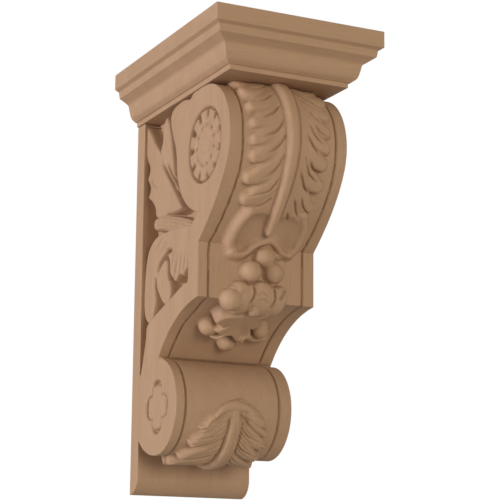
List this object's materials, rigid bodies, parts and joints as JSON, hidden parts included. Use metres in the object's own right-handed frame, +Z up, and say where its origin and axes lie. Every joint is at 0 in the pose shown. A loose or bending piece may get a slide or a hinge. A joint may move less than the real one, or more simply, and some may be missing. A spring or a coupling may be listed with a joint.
{
  "type": "corbel bracket",
  "caption": "Carved wooden corbel: a scrolled bracket with acanthus leaves, grapes and rosettes under a moulded cap, fixed to a wall by its flat back.",
  "frame": {"origin": "middle of the flat back, where the corbel is fixed against the wall", "axes": "+Z up, -Y out from the wall to the carved front, +X to the right seen from the front"},
  "size_m": [0.146, 0.2032, 0.3556],
  "materials": {
    "cap_wood": "raw sanded wood, fine grain along the cap",
    "board_wood": "raw sanded wood, fine upright grain",
    "carved_wood": "raw carved wood, fine upright grain"
  },
  "bodies": {
    "root": {"cap": "cap_wood", "back_board": "board_wood", "scroll_body": "carved_wood"}
  },
  "joints": []
}
